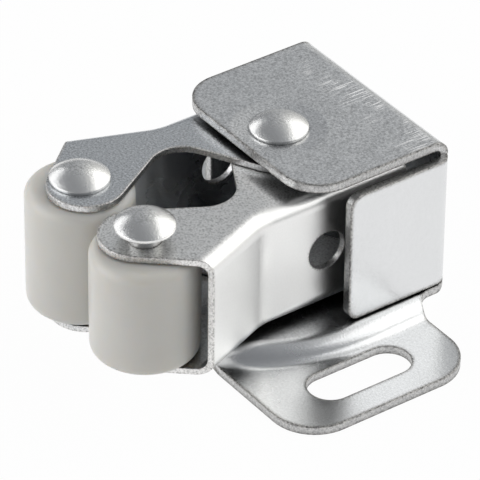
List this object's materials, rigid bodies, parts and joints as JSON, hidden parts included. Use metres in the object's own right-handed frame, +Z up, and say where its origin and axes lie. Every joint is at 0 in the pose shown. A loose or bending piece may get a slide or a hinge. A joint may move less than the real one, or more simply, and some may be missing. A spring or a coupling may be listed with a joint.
{
  "type": "roller catch",
  "caption": "Cabinet roller catch: sprung channel arms with nylon rollers swing on a rivet in a folded steel housing with slotted screw ears.",
  "frame": {"origin": "midway between the screw slots, on the mounting surface under the ears", "axes": "+X across the catch towards the inner arm, -Y out of the mouth towards the strike, +Z up from the mounting surface along the pivot rivet"},
  "size_m": [0.041, 0.0337, 0.0183],
  "materials": {
    "housing_zinc": "bright zinc plating on pressed sheet steel",
    "arm_zinc": "bright zinc plating on pressed sheet steel",
    "rivet_zinc": "bright zinc plating on cold-headed steel",
    "roller_nylon": "moulded natural nylon, satin",
    "spring_steel": "drawn spring wire"
  },
  "bodies": {
    "housing": {"housing": "housing_zinc", "pivot_rivet": "rivet_zinc", "arm_spring": "spring_steel"},
    "outer_arm": {"outer_arm": "arm_zinc", "outer_axle_rivet": "rivet_zinc"},
    "inner_arm": {"inner_arm": "arm_zinc", "inner_axle_rivet": "rivet_zinc"},
    "outer_roller": {"outer_roller": "roller_nylon"},
    "inner_roller": {"inner_roller": "roller_nylon"}
  },
  "joints": [
    {"name": "inner_arm_swing", "type": "hinge", "parent": "housing", "child": "inner_arm", "pos_m": [0, 0.0024, 0], "axis": [0, 0, 1], "range_deg": [0, 18], "stiffness_Nm_per_rad": 0.16, "springref_deg": -34.38, "deforming": ["arm_spring"]},
    {"name": "outer_arm_swing", "type": "hinge", "parent": "housing", "child": "outer_arm", "pos_m": [0, 0.0024, 0], "axis": [0, 0, -1], "range_deg": [0, 18], "stiffness_Nm_per_rad": 0.16, "springref_deg": -34.38, "deforming": ["arm_spring"]},
    {"name": "inner_roller_spin", "type": "hinge", "parent": "inner_arm", "child": "inner_roller", "pos_m": [0.00498, -0.01535, 0.0091], "axis": [0, 0, 1], "continuous": true},
    {"name": "outer_roller_spin", "type": "hinge", "parent": "outer_arm", "child": "outer_roller", "pos_m": [-0.00498, -0.01535, 0.0091], "axis": [0, 0, 1], "continuous": true}
  ]
}
